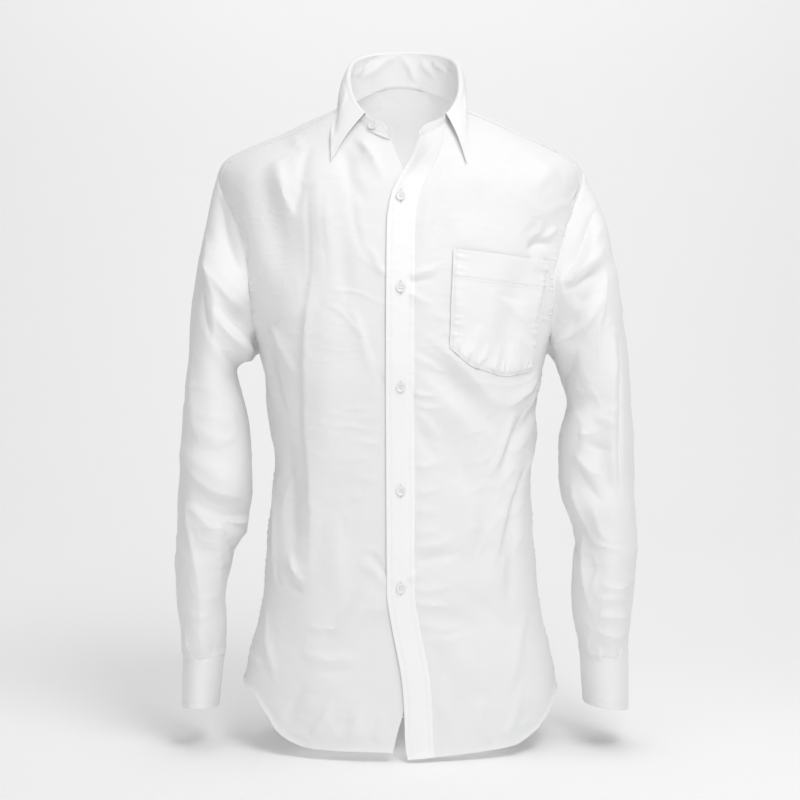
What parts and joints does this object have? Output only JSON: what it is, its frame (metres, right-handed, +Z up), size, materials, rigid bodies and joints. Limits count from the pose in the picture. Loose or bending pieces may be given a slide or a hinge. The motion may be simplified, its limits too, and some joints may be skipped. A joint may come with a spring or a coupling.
{
  "type": "dress shirt",
  "caption": "Long-sleeved button-front dress shirt, filled out as if worn, with an open turned-down collar, a chest pocket, buttoned cuffs and a curved shirt-tail hem.",
  "frame": {"origin": "between the shoulders on the centre plane, at the height of the neck's sides, where the wearer's shoulders hold the shirt up", "axes": "+Z up, +Y towards the shirt's back, +X towards the wearer's left"},
  "size_m": [0.5492, 0.2514, 0.8336],
  "materials": {
    "shirting": "white plain-weave shirting, matt with a faint sheen",
    "button": "off-white four-hole buttons with a soft pearl gloss"
  },
  "bodies": {
    "root": {"front_left": "shirting", "front_right": "shirting", "placket": "shirting", "pocket": "shirting", "back": "shirting", "yoke": "shirting", "collar_stand": "shirting", "collar_leaf": "shirting", "sleeve_right": "shirting", "cuff_right": "shirting", "sleeve_placket_right": "shirting", "sleeve_left": "shirting", "cuff_left": "shirting", "sleeve_placket_left": "shirting", "button_1": "button", "button_2": "button", "button_3": "button", "button_4": "button", "button_5": "button", "button_collar": "button", "button_cuff_right": "button", "button_cuff_left": "button"}
  },
  "joints": []
}
